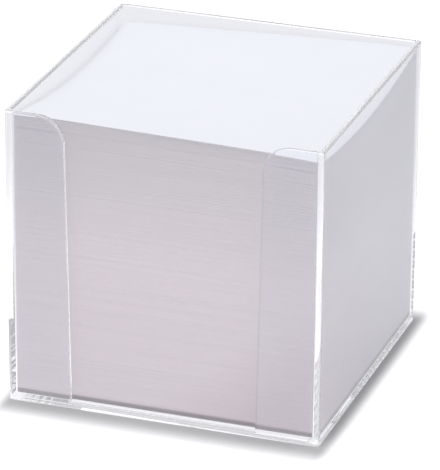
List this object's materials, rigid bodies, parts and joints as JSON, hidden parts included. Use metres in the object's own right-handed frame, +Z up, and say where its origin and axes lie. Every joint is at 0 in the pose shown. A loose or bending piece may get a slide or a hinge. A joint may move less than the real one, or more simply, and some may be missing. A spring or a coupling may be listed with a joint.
{
  "type": "clear note box",
  "caption": "Square clear plastic note box, open at the top, with a finger slot down its front wall, filled with loose white note sheets that curl a little at the top.",
  "frame": {"origin": "middle of the box's footprint, on the surface it stands on", "axes": "+Z up out of the open top; the front wall with the finger slot faces -Y; +X is to the right for someone who looks at the slot"},
  "size_m": [0.095, 0.095, 0.09],
  "materials": {
    "clear_plastic": "gloss",
    "note_paper": "matte"
  },
  "bodies": {
    "holder": {"clear_box": "clear_plastic"},
    "refill": {"curled_sheet_02": "note_paper", "curled_sheet_03": "note_paper", "curled_sheet_04": "note_paper", "curled_sheet_05": "note_paper", "curled_sheet_06": "note_paper", "curled_sheet_07": "note_paper", "curled_sheet_08": "note_paper", "curled_sheet_09": "note_paper", "curled_sheet_10": "note_paper", "curled_sheet_11": "note_paper", "curled_sheet_12": "note_paper", "curled_sheet_13": "note_paper", "curled_sheet_14": "note_paper", "curled_sheet_15": "note_paper", "curled_sheet_16": "note_paper", "curled_sheet_17": "note_paper", "curled_sheet_18": "note_paper", "curled_sheet_19": "note_paper", "curled_sheet_20": "note_paper", "curled_sheet_21": "note_paper", "curled_sheet_22": "note_paper", "curled_sheet_23": "note_paper", "curled_sheet_24": "note_paper", "sheet_pack_26": "note_paper", "sheet_pack_25": "note_paper", "sheet_pack_24": "note_paper", "sheet_pack_23": "note_paper", "sheet_pack_22": "note_paper", "sheet_pack_21": "note_paper", "sheet_pack_20": "note_paper", "sheet_pack_19": "note_paper", "sheet_pack_18": "note_paper", "sheet_pack_17": "note_paper", "sheet_pack_16": "note_paper", "sheet_pack_15": "note_paper", "sheet_pack_14": "note_paper", "sheet_pack_13": "note_paper", "sheet_pack_12": "note_paper", "sheet_pack_11": "note_paper", "sheet_pack_10": "note_paper", "sheet_pack_09": "note_paper", "sheet_pack_08": "note_paper", "sheet_pack_07": "note_paper", "sheet_pack_06": "note_paper", "sheet_pack_05": "note_paper", "sheet_pack_04": "note_paper", "sheet_pack_03": "note_paper", "sheet_pack_02": "note_paper", "sheet_pack_01": "note_paper"},
    "top_note": {"top_sheet": "note_paper"}
  },
  "joints": [
    {"name": "refill_lift", "type": "slide", "parent": "holder", "child": "refill", "axis": [0, 0, 1], "range_m": [0, 0.1]},
    {"name": "top_sheet_lift", "type": "slide", "parent": "refill", "child": "top_note", "axis": [0, 0, 1], "range_m": [0, 0.06]}
  ]
}
